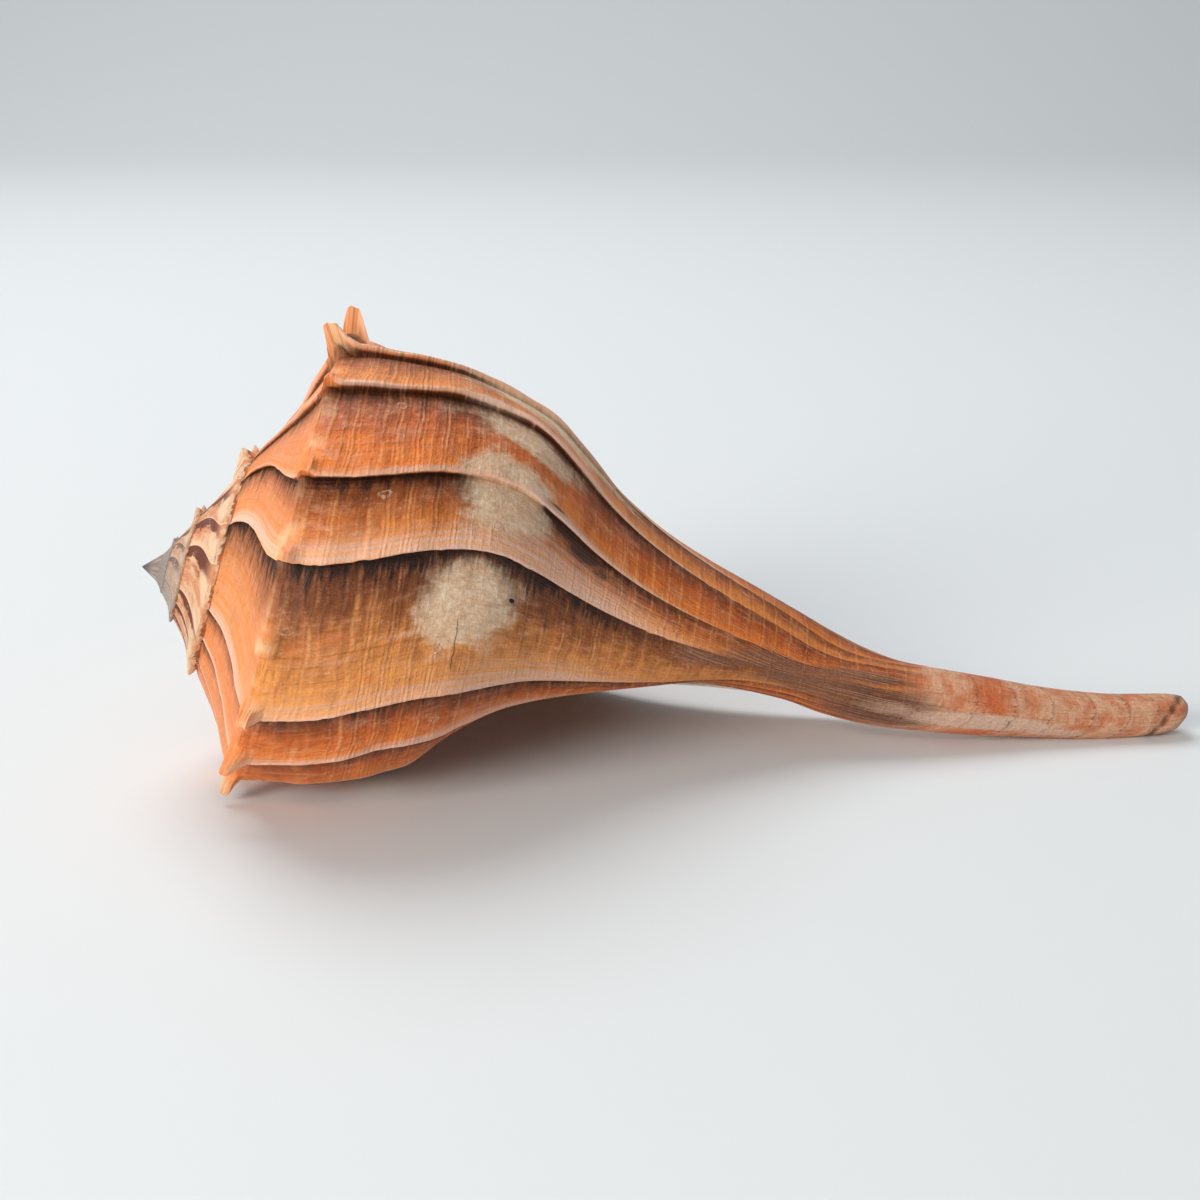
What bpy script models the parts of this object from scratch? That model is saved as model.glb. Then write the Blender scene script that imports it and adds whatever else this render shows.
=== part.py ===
"""Lightning whelk shell lying on its aperture: spire to -X, siphonal canal to +X, +Z up.

The shell is a coil that opens to the left. A point of it is given by its growth angle in
degrees, its distance along the axis from the apex and its distance from the axis. Angle 0
faces -Y, 90 faces up, and the growth runs on from there over the top to the far side, where
the outer lip ends on the table. Lengths in this file are metres.
"""

import math

import bmesh
import bpy
import numpy as np

MM = 0.001

NODE = "whelk_shell"
WALL = 1.3 * MM
CANAL_WALL_PART = 0.85
ROOF_WALL_PART = 1.3
LIP_EDGE_PART = 0.75
SUTURE_WALL = 2.6 * MM
SMALLEST_RADIUS = 0.3 * MM

AXIS_TILT = math.radians(11.5)
AXIS_YAW = math.radians(4.8)
APEX = np.array([-63.45, -7.87, 25.0]) * MM
TABLE = 0.0

TURN = 360.0
TOP_ANGLE = 108.0
WHORL_GROWTH = 1.98
LAST_GROWTH = 1.70
SPIRE_TURNS = 3
SMOOTH_APEX_ANGLE = -1230.0

SHOULDER_RADIUS = 29.2 * MM
SHOULDER_SLOPE = 0.62
APEX_HEIGHT = 1.0 * MM
UNDER_SHOULDER = 1.4 * MM
UNDER_SHOULDER_OUT = 0.2
RAMP_HOLLOW = 0.035

# The underside of the waist is drawn in: part of the radius, and where along the shell and how
# far round it this begins and ends.
WAIST_DEPTH = 0.32
WAIST_FROM = 30.0
WAIST_FULL = 46.0
WAIST_FADE = 60.0
WAIST_TO = 80.0
UNDERSIDE_FROM = -20.0
UNDERSIDE_RANGE = 60.0

LEDGE_ANGLES = (-131, -107, -84, -60, -38, -18, 1, 25, 46, 74, 94, 118, 139, 160, 182, 205)
LEDGE_STRENGTH = (0.6, 0.6, 0.7, 0.9, 1.0, 0.7, 0.1, 1.2, 1.2, 1.1, 0.8, 0.8, 1.0, 0.9, 1.0, 0.9)
SPINE_STRENGTH = (0.8, 0.9, 1.5, 1.3, 1.1, 0.9, 0.5, 0.5, 0.4, 0.3, 0.9, 1.7, 1.2, 1.3, 1.2, 1.1)
COLUMN_STEPS = (0.0, 0.24, 0.50, 0.75, 0.95)
LIP_STEP = 1
LEDGE_HEIGHT = 1.3 * MM
LEDGE_CURVE = 1.6
LEDGE_ON_RAMP = 0.55
LEDGE_FADE_FROM = 44.0
LEDGE_FADE_RANGE = 30.0
LEDGES_BEGIN = -135.0
LEDGES_RANGE = 50.0
SPINE_LENGTH = 3.0 * MM
SPINE_LEAN = 0.15
SPINE_REACH = (1.0, 0.22, 0.0, 0.0, 0.12)
SPINE_ROWS = (0.22, 1.0, 0.25)

# Growth lines run ahead of their place on the shoulder by this angle in the middle of the body.
GROWTH_LEAN = 13.0
LEAN_FROM = 20.0
LEAN_RANGE = 26.0
LEAN_BACK_FROM = 50.0
LEAN_BACK_RANGE = 32.0
LEAN_BEGINS = -149.0
LEAN_BEGINS_RANGE = 50.0
LEAN_ENDS = 205.0
LEAN_ENDS_RANGE = 85.0

# The outline of the body whorl where it stands highest: distance from the apex, radius.
BODY_OUTLINE = (
    (19.1, 29.2),
    (24.0, 29.9),
    (32.0, 29.4),
    (39.0, 27.6),
    (45.0, 25.3),
    (50.0, 21.5),
    (55.1, 17.5),
    (60.0, 14.7),
    (66.0, 12.1),
    (74.0, 9.2),
    (80.0, 7.1),
    (86.0, 4.8),
    (94.0, 2.2),
    (105.0, 0.3),
    (140.0, 0.1),
)

# The canal and the columella above it: distance from the apex, radius, rise of its centre.
CANAL_OUTLINE = (
    (0.0, 2.0, 0.0),
    (40.0, 2.2, 0.0),
    (60.0, 2.6, 0.0),
    (71.0, 2.8, 0.0),
    (78.0, 3.0, -0.2),
    (83.5, 3.7, -0.5),
    (89.5, 4.1, -0.6),
    (96.0, 4.0, -0.4),
    (103.0, 3.7, -0.1),
    (110.0, 3.2, 0.3),
    (117.5, 2.9, 1.0),
    (126.0, 2.6, 2.7),
    (128.2, 2.1, 3.3),
    (129.0, 1.2, 3.6),
)

RAMP_ROWS = (0.0, 0.36, 0.72, 1.0)
BODY_ROWS = (
    23.5, 28.0, 33.0, 38.0, 42.5, 46.5, 50.5, 54.5, 58.5, 63.0, 68.0, 73.5, 79.5,
    85.5, 91.5, 97.5, 103.5, 109.5, 115.5, 121.0, 125.5, 128.2, 129.0,
)
CANAL_FROM = 60.0
CANAL_TO = 108.0
SLOT_FROM = 76.0
SLOT_RANGE = 16.0
SLOT_ANGLE = 22.0
HALF_TURN = 180.0

POCKET_STEPS = 9
POCKET_TURN = 165.0
POCKET_SHORTER = 135.0
POCKET_SHORTER_FROM = 52.0
POCKET_SHORTER_RANGE = 28.0
POCKET_END_CURVE = 0.25
SHARP_ANGLE = math.radians(40.0)
MERGE_DISTANCE = 0.005 * MM


def smooth_step(value):
    value = np.clip(value, 0.0, 1.0)
    return value * value * (3.0 - 2.0 * value)


def smooth_curve(stations, values, where):
    """A smooth curve through a few stations, with no overshoot."""
    stations = np.asarray(stations, float)
    values = np.asarray(values, float)
    step = np.diff(stations)
    slope = np.diff(values) / step
    tangent = np.zeros_like(values)
    same = slope[:-1] * slope[1:] > 0.0
    mean = 2.0 * slope[:-1] * slope[1:] / np.where(same, slope[:-1] + slope[1:], 1.0)
    tangent[1:-1] = np.where(same, mean, 0.0)
    tangent[0] = slope[0]
    tangent[-1] = slope[-1]
    where = np.clip(where, stations[0], stations[-1])
    index = np.clip(np.searchsorted(stations, where) - 1, 0, len(step) - 1)
    width = step[index]
    part = (where - stations[index]) / width
    low = values[index] * (1.0 + 2.0 * part) + width * tangent[index] * part
    high = values[index + 1] * (3.0 - 2.0 * part) - width * tangent[index + 1] * (1.0 - part)
    return low * (1.0 - part) ** 2 + high * part ** 2


def growth(angle):
    """Size of the coil at a growth angle, 1 where the body whorl stands highest."""
    turns = (np.asarray(angle, float) - TOP_ANGLE) / TURN
    return np.where(turns < 0.0, WHORL_GROWTH ** turns, LAST_GROWTH ** turns)


def outer_radius(along, angle):
    """Radius of the smooth outer surface below the shoulder."""
    size = growth(angle)
    stations, radii = np.array(BODY_OUTLINE).T * MM
    body = size * smooth_curve(stations, radii, (along - APEX_HEIGHT) / size + APEX_HEIGHT)
    stations, radii, _ = np.array(CANAL_OUTLINE).T * MM
    canal = smooth_curve(stations, radii, along)
    waist = smooth_step((along / MM - WAIST_FROM) / (WAIST_FULL - WAIST_FROM))
    waist = waist * smooth_step((WAIST_TO - along / MM) / (WAIST_TO - WAIST_FADE))
    under = smooth_step((UNDERSIDE_FROM - angle) / UNDERSIDE_RANGE)
    body = body * (1.0 - WAIST_DEPTH * waist * under)
    return (body ** 4 + canal ** 4) ** 0.25


def canal_rise(along):
    """How far the middle of the canal is bent up from the straight axis."""
    stations, _, rises = np.array(CANAL_OUTLINE).T * MM
    return float(smooth_curve(stations, rises, along))


def shoulder_point(angle):
    """Distance along the axis and radius of the shoulder."""
    radius = SHOULDER_RADIUS * growth(angle)
    return APEX_HEIGHT + SHOULDER_SLOPE * radius, radius


def under_shoulder_point(angle):
    """The line just below the shoulder, where the next turn of the coil grows on."""
    along, radius = shoulder_point(angle)
    drop = UNDER_SHOULDER * growth(angle)
    return along + drop, radius + UNDER_SHOULDER_OUT * drop


def column_angle(column):
    """Growth angle of a mesh column: five columns run from each ledge to the next."""
    steps = len(COLUMN_STEPS)
    ledge, step = divmod(column, steps)
    turns, ledge = divmod(ledge, len(LEDGE_ANGLES))
    start = LEDGE_ANGLES[ledge]
    end = LEDGE_ANGLES[ledge + 1] if ledge + 1 < len(LEDGE_ANGLES) else LEDGE_ANGLES[0] + TURN
    return start + (end - start) * COLUMN_STEPS[step] + TURN * turns


def profile_point(angle, row, hollow=RAMP_HOLLOW):
    """Distance along the axis and radius of a row on the smooth shell."""
    ramp = len(RAMP_ROWS)
    if row < ramp:
        start = np.array(under_shoulder_point(angle - TURN))
        end = np.array(shoulder_point(angle))
        point = start + (end - start) * RAMP_ROWS[row]
        sag = hollow * (end[1] - start[1]) * math.sin(math.pi * RAMP_ROWS[row])
        return point[0] + sag, point[1] - sag
    if row == ramp:
        return under_shoulder_point(angle)
    station = BODY_ROWS[row - ramp - 1] * MM
    part = smooth_step((station / MM - CANAL_FROM) / (CANAL_TO - CANAL_FROM))
    along = station * float(growth(angle)) ** (1.0 - part)
    return along, float(outer_radius(along, angle))


def row_count():
    return len(RAMP_ROWS) + 1 + len(BODY_ROWS)


def relief(column, row):
    """Height of the ledges and spines over the smooth shell: outwards and towards the apex."""
    steps = len(COLUMN_STEPS)
    ledge, step = divmod(column, steps)
    ledge %= len(LEDGE_ANGLES)
    angle = column_angle(column)
    size = float(growth(angle))
    shoulder = len(RAMP_ROWS) - 1
    along = profile_point(angle, row)[0] / size / MM
    fade = 1.0 - float(smooth_step((along - LEDGE_FADE_FROM) / LEDGE_FADE_RANGE))
    young = float(smooth_step((angle - SMOOTH_APEX_ANGLE) / TURN))
    if row < shoulder:
        fade = LEDGE_ON_RAMP * RAMP_ROWS[row]
    if row > shoulder:
        fade *= float(smooth_step((angle - LEDGES_BEGIN) / LEDGES_RANGE))
    ridge = (1.0 - COLUMN_STEPS[step]) ** LEDGE_CURVE * LEDGE_STRENGTH[ledge]
    height = LEDGE_HEIGHT * size * ridge * fade * young
    near = SPINE_ROWS[row - shoulder + 1] if abs(row - shoulder) <= 1 else 0.0
    spine = SPINE_LENGTH * size * SPINE_STRENGTH[ledge] * SPINE_REACH[step] * near * young
    return height + spine, SPINE_LEAN * spine


def place(along, radius, angle):
    """World position of a point of the shell frame."""
    forward = np.array([
        math.cos(AXIS_TILT) * math.cos(AXIS_YAW),
        math.cos(AXIS_TILT) * math.sin(AXIS_YAW),
        -math.sin(AXIS_TILT),
    ])
    near = np.array([math.sin(AXIS_YAW), -math.cos(AXIS_YAW), 0.0])
    up = np.cross(near, forward)
    turned = math.radians(angle)
    middle = APEX + forward * along + up * canal_rise(along)
    return middle + (near * math.cos(turned) + up * math.sin(turned)) * radius


def rest_on_table(point):
    """What would reach below the table is worn flat there."""
    point = np.array(point)
    point[2] = max(point[2], TABLE)
    return point


def lean(angle, row):
    """How far a growth line runs ahead of its place on the shoulder, in degrees."""
    if row <= len(RAMP_ROWS):
        return 0.0
    along = BODY_ROWS[row - len(RAMP_ROWS) - 1]
    ahead = smooth_step((along - LEAN_FROM) / LEAN_RANGE)
    ahead = ahead - smooth_step((along - LEAN_BACK_FROM) / LEAN_BACK_RANGE)
    seen = smooth_step((angle - LEAN_BEGINS) / LEAN_BEGINS_RANGE)
    seen = seen * smooth_step((LEAN_ENDS - angle) / LEAN_ENDS_RANGE)
    return float(GROWTH_LEAN * ahead * seen)


def slot_angle(row):
    """Half the angle that the open canal takes, in degrees."""
    if row <= len(RAMP_ROWS):
        return 0.0
    return SLOT_ANGLE * canal_share(row)


def canal_share(row):
    """0 in the body whorl and 1 along the canal."""
    if row <= len(RAMP_ROWS):
        return 0.0
    along = BODY_ROWS[row - len(RAMP_ROWS) - 1]
    return float(smooth_step((along - SLOT_FROM) / SLOT_RANGE))


def outer_angle(column, row, last):
    """Growth angle of a vertex, with the lean of the growth lines and the canal's slot."""
    angle = column_angle(column)
    first = last - len(COLUMN_STEPS) * len(LEDGE_ANGLES)
    across = (column - first) / (last - first)
    return angle + lean(angle, row) + slot_angle(row) * (1.0 - 2.0 * across)


def outer_point(column, row, last):
    first = last - len(COLUMN_STEPS) * len(LEDGE_ANGLES)
    angle = outer_angle(column, row, last) if column >= first else column_angle(column)
    along, radius = profile_point(angle, row)
    outward, forward = relief(column, row)
    return rest_on_table(place(along - forward, radius + outward, angle))


def inner_profile(angle, row, wall):
    """A row of the outer surface moved into the shell by the wall."""
    along, radius = profile_point(angle, row, 0.0)
    before = profile_point(angle, max(row - 1, 0), 0.0)
    after = profile_point(angle, min(row + 1, row_count() - 1), 0.0)
    run = np.array([after[0] - before[0], after[1] - before[1]])
    run /= max(np.linalg.norm(run), 1e-9)
    return along + run[1] * wall, radius - run[0] * wall


def floor_point(angle, row, part):
    """A row of the hollow's floor, which is the turn before, moved clear of the wall above it."""
    along = profile_point(angle, row)[0]
    suture = under_shoulder_point(angle)[0]
    away = smooth_step((along - suture) / (4.0 * SUTURE_WALL))
    along = along + SUTURE_WALL * min(1.0, part * 6.0) * (1.0 - float(away))
    return along, float(outer_radius(along, angle))


def pocket_path(row, last):
    """Points of one row of the hollow, from the lip inwards and back out to the columella."""
    lip = column_angle(last)
    share = canal_share(row)
    slot = slot_angle(row)
    shoulder = len(RAMP_ROWS) - 1
    wall = WALL * (1.0 - (1.0 - CANAL_WALL_PART) * share)
    points = []
    turn = POCKET_TURN
    if row > len(RAMP_ROWS):
        along = BODY_ROWS[row - len(RAMP_ROWS) - 1]
        shorter = smooth_step((along - POCKET_SHORTER_FROM) / POCKET_SHORTER_RANGE)
        turn = POCKET_TURN - POCKET_SHORTER * float(shorter)
    for step in range(POCKET_STEPS + 1):
        part = step / POCKET_STEPS
        body_angle = lip - turn * part
        canal_angle = lip - slot - (HALF_TURN - slot) * part
        angle = body_angle + (canal_angle - body_angle) * share
        edge = min(1.0, LIP_EDGE_PART + part * 4.0)
        along, radius = inner_profile(angle, row, wall * edge)
        if row <= shoulder:
            start = np.array(floor_point(angle - TURN, len(RAMP_ROWS), part))
            inside = np.array(inner_profile(angle, row, wall * edge * ROOF_WALL_PART))
            mix = RAMP_ROWS[row]
            along, radius = start * (1.0 - mix) + inside * mix
        points.append(place(along, max(radius, SMALLEST_RADIUS), angle))
    for step in range(POCKET_STEPS, -1, -1):
        part = step / POCKET_STEPS
        body_angle = lip - turn * part - TURN
        along, radius = floor_point(body_angle, max(row, len(RAMP_ROWS)), part)
        floor = place(along, radius, body_angle)
        canal_angle = lip - TURN + slot + (HALF_TURN - slot) * part
        along, radius = inner_profile(canal_angle, row, wall)
        wall_point = place(along, max(radius, SMALLEST_RADIUS), canal_angle)
        points.append(floor + (wall_point - floor) * share)
    outer_end = points[POCKET_STEPS]
    floor_end = points[POCKET_STEPS + 1]
    points[POCKET_STEPS] = outer_end + (floor_end - outer_end) * POCKET_END_CURVE
    if row > len(RAMP_ROWS):
        points[POCKET_STEPS + 1] = floor_end + (outer_end - floor_end) * POCKET_END_CURVE
    return points


def shell_mesh():
    """The outer surface as one coiled strip, closed by the hollow behind the lip.

    The faces are laid by hand because each turn of the strip shares its edge with the turn
    before it, which no lofting or spinning operator closes.
    """
    mesh = bmesh.new()
    turn_columns = len(COLUMN_STEPS) * len(LEDGE_ANGLES)
    last = turn_columns - len(COLUMN_STEPS) + LIP_STEP
    first = last - turn_columns
    start = first - SPIRE_TURNS * turn_columns
    suture = len(RAMP_ROWS)
    rows = row_count()
    vertices = {}

    def vertex(column, row):
        """Row 0 of a turn is the line below the shoulder of the turn before it."""
        if row == 0 and column - turn_columns >= start:
            return vertex(column - turn_columns, suture)
        key = (column, row)
        if key not in vertices:
            vertices[key] = mesh.verts.new(outer_point(column, row, last))
        return vertices[key]

    def face(*corners):
        ring = []
        for corner in corners:
            if corner not in ring:
                ring.append(corner)
        if len(ring) > 2:
            mesh.faces.new(ring)

    for column in range(start, last):
        end_row = suture if column < first else rows - 1
        for row in range(end_row):
            face(
                vertex(column, row),
                vertex(column, row + 1),
                vertex(column + 1, row + 1),
                vertex(column + 1, row),
            )

    apex = mesh.verts.new(rest_on_table(place(0.0, 0.0, 0.0)))
    ring = [vertex(column, 0) for column in range(start, start + turn_columns)]
    ring += [vertex(start, row) for row in range(suture, -1, -1)]
    for one, other in zip(ring, ring[1:]):
        face(apex, one, other)

    paths = []
    for row in range(rows):
        path = [mesh.verts.new(rest_on_table(point)) for point in pocket_path(row, last)]
        paths.append(path)
    lip = [vertex(last, row) for row in range(rows)]
    columella = [vertex(first, max(row, suture)) for row in range(rows)]
    grid = []
    for row, path in enumerate(paths):
        grid.append([lip[row]] + path + [columella[row]])
    for one, other in zip(grid, grid[1:]):
        for step in range(len(one) - 1):
            face(one[step], other[step], other[step + 1], one[step + 1])

    inner_end = paths[-1]
    steps = len(inner_end) - 1
    for column in range(first, last):
        here = inner_end[round(steps * (last - column) / turn_columns)]
        there = inner_end[round(steps * (last - column - 1) / turn_columns)]
        face(vertex(column, rows - 1), here, there, vertex(column + 1, rows - 1))
    return mesh


def shell_material():
    material = bpy.data.materials.new("shell_lime")
    material.use_nodes = True
    shader = material.node_tree.nodes["Principled BSDF"]
    shader.inputs["Base Color"].default_value = (0.55, 0.24, 0.09, 1.0)
    shader.inputs["Roughness"].default_value = 0.5
    shader.inputs["Metallic"].default_value = 0.0
    return material


def make_shell(collection):
    mesh = shell_mesh()
    bmesh.ops.remove_doubles(mesh, verts=mesh.verts, dist=MERGE_DISTANCE)
    bmesh.ops.triangulate(mesh, faces=mesh.faces)
    bmesh.ops.recalc_face_normals(mesh, faces=mesh.faces)
    data = bpy.data.meshes.new(NODE)
    mesh.to_mesh(data)
    mesh.free()
    data.materials.append(shell_material())
    data.shade_smooth()
    data.set_sharp_from_angle(angle=SHARP_ANGLE)
    shell = bpy.data.objects.new(NODE, data)
    collection.objects.link(shell)
    return shell


def main():
    for item in list(bpy.data.objects):
        bpy.data.objects.remove(item)
    collection = bpy.data.collections.new("lightning_whelk_shell")
    bpy.context.scene.collection.children.link(collection)
    make_shell(collection)


if __name__ == "__main__":
    main()
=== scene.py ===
"""The looks of a lightning whelk shell, built round its solid model.

The shell lies on its aperture with the spire to -X and the siphonal canal to +X. It is one coil
that opens to the left. A point of it is given by its growth angle in degrees, its distance along
the axis from the apex and its distance from the axis. Angle 0 faces -Y, 90 faces up, and the
growth runs on from there over the top to the far side, where the outer lip ends on the table.
"""

import math
from types import SimpleNamespace

import bmesh
import bpy
import numpy as np
from bpy.props import FloatProperty, FloatVectorProperty, PointerProperty
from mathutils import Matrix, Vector, noise


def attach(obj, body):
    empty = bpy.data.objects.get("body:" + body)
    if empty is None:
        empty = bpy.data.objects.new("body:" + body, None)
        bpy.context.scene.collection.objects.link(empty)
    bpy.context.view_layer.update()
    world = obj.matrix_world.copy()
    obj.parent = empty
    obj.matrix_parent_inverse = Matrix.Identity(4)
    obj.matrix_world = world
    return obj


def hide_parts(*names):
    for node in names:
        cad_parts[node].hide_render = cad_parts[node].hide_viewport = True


bl_info = {
    "name": "Lightning whelk shell",
    "version": (1, 0, 0),
    "blender": (4, 5, 0),
    "location": "3D View > Sidebar > Whelk",
    "description": "Builds a detailed lightning whelk shell and a plain stage for it",
    "category": "Object",
}

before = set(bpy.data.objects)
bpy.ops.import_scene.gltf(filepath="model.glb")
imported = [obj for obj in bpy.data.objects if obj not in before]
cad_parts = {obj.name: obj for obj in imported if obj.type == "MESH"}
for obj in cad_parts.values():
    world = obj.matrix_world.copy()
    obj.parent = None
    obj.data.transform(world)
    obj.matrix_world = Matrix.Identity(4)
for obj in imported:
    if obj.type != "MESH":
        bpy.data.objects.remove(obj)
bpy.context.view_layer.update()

MM = 0.001
NODE = "whelk_shell"

WALL = 1.3 * MM
CANAL_WALL_PART = 0.85
ROOF_WALL_PART = 1.3
LIP_EDGE_PART = 0.75
LIP_EDGE_GROWTH = 4.0
SUTURE_WALL = 2.6 * MM
SUTURE_WALL_REACH = 4.0
SUTURE_WALL_GROWTH = 6.0
SMALLEST_RADIUS = 0.3 * MM

AXIS_TILT = math.radians(11.5)
AXIS_YAW = math.radians(4.8)
APEX = np.array([-63.45, -7.87, 25.0]) * MM
TABLE = 0.0

TURN = 360.0
TOP_ANGLE = 108.0
WHORL_GROWTH = 1.98
LAST_GROWTH = 1.70
SPIRE_TURNS = 3
SMOOTH_APEX_ANGLE = -1230.0

SHOULDER_RADIUS = 29.2 * MM
SHOULDER_SLOPE = 0.62
APEX_HEIGHT = 1.0 * MM
UNDER_SHOULDER = 1.4 * MM
UNDER_SHOULDER_OUT = 0.2
RAMP_HOLLOW = 0.035

# A span is where a smooth rise from 0 to 1 starts and ends, in millimetres from the apex or in
# degrees of growth. On the underside the body whorl draws in to the neck sooner.
WAIST_DEPTH = 0.32
WAIST = (30.0, 46.0)
WAIST_END = (80.0, 60.0)
UNDERSIDE = (-20.0, -80.0)

LEDGE_ANGLES = (-131, -107, -84, -60, -38, -18, 1, 25, 46, 74, 94, 118, 139, 160, 182, 205)
LEDGE_STRENGTH = (0.6, 0.6, 0.7, 0.8, 0.8, 0.6, 0.1, 1.0, 0.9, 0.8, 0.7, 0.7, 0.8, 0.8, 0.9, 0.8)
SPINE_STRENGTH = (0.8, 0.9, 1.5, 1.3, 1.1, 0.9, 0.5, 0.5, 0.4, 0.3, 0.9, 1.7, 1.2, 1.3, 1.2, 1.1)
SPINE_LEAN = (0.1, 0.1, 0.1, 0.2, 0.5, 0.3, 0.2, 0.3, 0.3, 0.4, 0.8, 0.1, 0.0, 0.1, 0.1, 0.1)
SPINE_WIDTH = (1.7, 1.7, 1.7, 1.8, 1.9, 1.8, 2.4, 1.4, 1.4, 1.2, 1.8, 2.1, 1.5, 1.5, 1.5, 1.5)
OLD_TURNS = (330.0, 390.0)
YOUNG_TURNS = (SMOOTH_APEX_ANGLE, SMOOTH_APEX_ANGLE + TURN)

# The ledges begin on the columella and fade out towards the neck and the suture.
LEDGES_BEGIN = (-135.0, -85.0)
LEDGES_END = (68.0, 42.0)
LEDGE_AT_SUTURE = 0.35
SUTURE_FADE = (0.0, 0.12)
OLD_LEDGE_LOSS = 0.9

# Waves of a ledge's height and nicks of its edge: length in millimetres and strength.
WAVE_LENGTH = 4.0
WAVE_SHARE = 0.35
NICK_LENGTH = 1.1
NICK_SHARE = 0.5
NICK_SEED = 40
SEED_STEP = 7.31
RAMP_LENGTH = 20.0

# On the ramp a ledge leans towards the apex.
RAMP_SLIDE = 0.8
RAMP_FLATTEN = 0.45
RAMP_STEEPNESS = 3.0

# A shoulder spine is a flat finger on a wide skirt. The first three are parts of its width, the
# others are lengths in millimetres on the body whorl or shares of the spine's length.
FINGER_FLAT = 0.50
BACK_FLAT = 0.35
BACK_SLOPE = 1.1
FRONT_LENGTH = 1.3
FRONT_SHARE = 0.45
SKIRT_ON_RAMP = 4.5
SKIRT_ON_BODY = 3.2
SKIRT_LENGTH = 2.6
SKIRT_SHARE = 0.28
EDGE_SHARE = 0.5
TIP_LIFT = 0.85

# A worn nodule of the spire, on the same scale.
NODULE_ON_RAMP = 7.5
NODULE_ON_BODY = 3.0
NODULE_MIDDLE = 3.5
NODULE_WAVE = 0.628
NODULE_SHARE = 0.8

# A growth line runs ahead on the body whorl by some degrees and comes back on the neck.
GROWTH_LEAN = 13.0
LEAN_AHEAD = (20.0, 46.0)
LEAN_BACK = (50.0, 82.0)
LEAN_BEGINS = (-149.0, -99.0)
LEAN_ENDS = (205.0, 120.0)
LEAN_FADE_COLUMNS = 84

# About the length of a panel in millimetres, on which spines and rims are measured.
PANEL_LENGTH = 10.0

# One panel between two ledges: part of the way to the next ledge, height of the ledge there and
# how far its edge hangs over the panel before.
PANEL_COLUMNS = np.array((
    (0.000, 0.25, 0.30), (0.000, 0.90, 1.00), (0.008, 1.02, 0.95), (0.030, 1.00, 0.55),
    (0.070, 0.94, 0.15), (0.115, 0.86, 0.0), (0.165, 0.79, 0.0), (0.220, 0.70, 0.0),
    (0.280, 0.60, 0.0), (0.340, 0.51, 0.0), (0.400, 0.43, 0.0), (0.460, 0.36, 0.0),
    (0.525, 0.29, 0.0), (0.590, 0.23, 0.0), (0.655, 0.17, 0.0), (0.720, 0.12, 0.0),
    (0.785, 0.08, 0.0), (0.850, 0.04, 0.0), (0.910, 0.00, 0.0), (0.965, -0.08, 0.0),
    (1.000, -0.14, 0.0),
))
LIP_COLUMN = 7
PER_PANEL = len(PANEL_COLUMNS)
PER_TURN = PER_PANEL * len(LEDGE_ANGLES)

# The outline of the body whorl where it stands highest: distance from the apex, radius.
BODY_OUTLINE = MM * np.array((
    (19.1, 29.2), (24.0, 29.9), (32.0, 29.4), (39.0, 27.6), (45.0, 25.3),
    (50.0, 21.5), (55.1, 17.5), (60.0, 14.7), (66.0, 12.1), (74.0, 9.2),
    (80.0, 7.1), (86.0, 4.8), (94.0, 2.2), (105.0, 0.3), (140.0, 0.1),
)).T

# The canal and the columella above it: distance from the apex, radius, rise of its centre.
CANAL_OUTLINE = MM * np.array((
    (0.0, 2.0, 0.0), (40.0, 2.2, 0.0), (60.0, 2.6, 0.0), (71.0, 2.8, 0.0), (78.0, 3.0, -0.2),
    (83.5, 3.7, -0.5), (89.5, 4.1, -0.6), (96.0, 4.0, -0.4), (103.0, 3.7, -0.1),
    (110.0, 3.2, 0.3), (117.5, 2.9, 1.0), (126.0, 2.6, 2.7), (128.2, 2.1, 3.3), (129.0, 1.2, 3.6),
)).T

RAMP_CELLS = 23
RAMP_CROWDING = 0.9
SUTURE_GAP = 0.015
SHOULDER_CELLS = 3
BODY_START = 21.4
BODY_MIDDLE = 62.0
BODY_END = 129.0
BODY_CELLS = 66
NECK_CELLS = 82

# The body's rows grow with the coil, the canal's keep their distance from the apex.
FIXED_ROWS = (60.0, 108.0)
SLOT_OPENS = (76.0, 92.0)
SLOT_ANGLE = 22.0
HALF_TURN = 180.0

POCKET_STEPS = 28
POCKET_TURN = 165.0
POCKET_SHORTER = 135.0
POCKET_SHORTENS = (52.0, 80.0)
POCKET_END_CURVE = 0.25

SENSOR_WIDTH = 36.0
FOCAL_PIXELS = 1958.0
PICTURE_PIXELS = 1200.0
CAMERA_PLACE = (-0.00995, -0.2264, 0.0919)
CAMERA_DOWN = 18.0
WALL_AWAY = 0.75
WALL_BEND = 0.5

SHARP_ANGLE = math.radians(50.0)
MERGE_DISTANCE = 0.0005 * MM

SHOULDER_STATION = 19.1
PATTERN_PITCH = 0.45

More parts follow.
